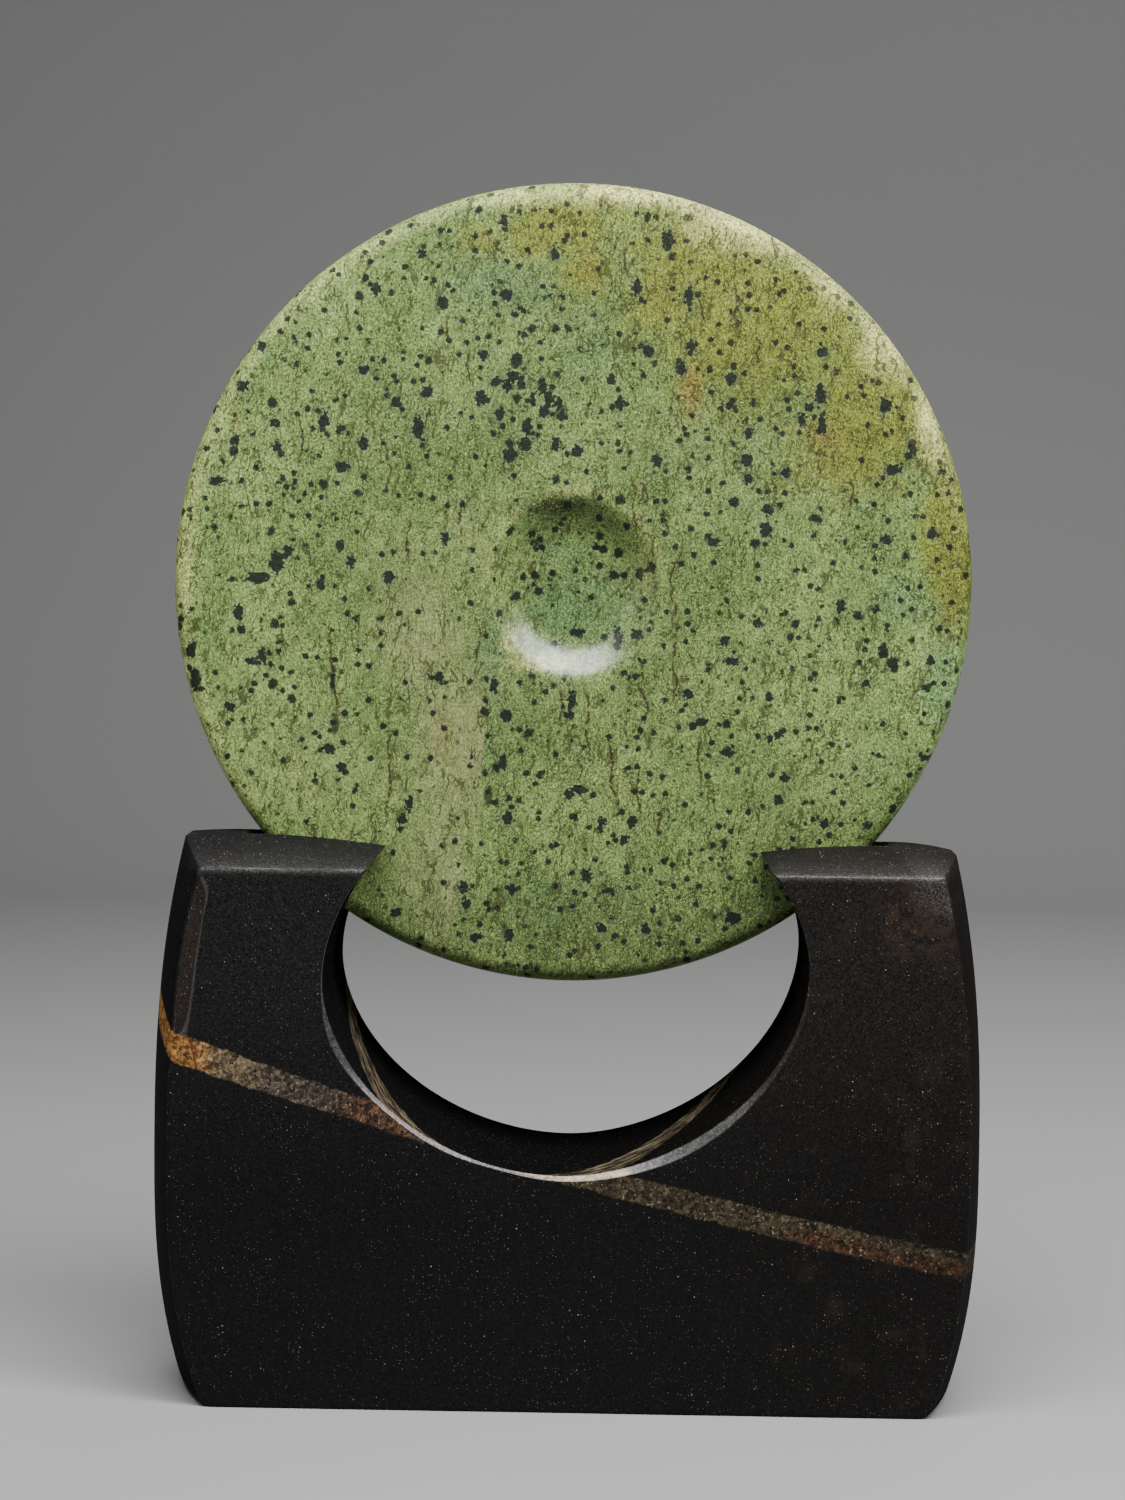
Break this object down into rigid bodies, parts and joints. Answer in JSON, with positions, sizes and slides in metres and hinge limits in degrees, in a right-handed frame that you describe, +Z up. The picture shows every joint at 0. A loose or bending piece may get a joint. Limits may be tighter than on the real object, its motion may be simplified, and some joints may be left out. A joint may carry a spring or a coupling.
{
  "type": "greenstone disc on stand",
  "caption": "Round green stone disc with a shallow hollow in its face, standing on edge in the slots of a black stone stand with an oval opening.",
  "frame": {"origin": "middle of the stand's flat underside, on the surface that it stands on", "axes": "+Z up, the hollowed face of the disc and the front of the stand look along -Y, +X is the viewer's right"},
  "size_m": [0.209, 0.059, 0.3033],
  "materials": {
    "green_stone": "polished sage to olive green nephrite with fine fibrous grain, brown stains and black spots",
    "black_stone": "satin black stone with fine bright specks and one grey and rust coloured quartz vein"
  },
  "bodies": {
    "root": {"greenstone_disc": "green_stone", "stone_stand": "black_stone"}
  },
  "joints": []
}
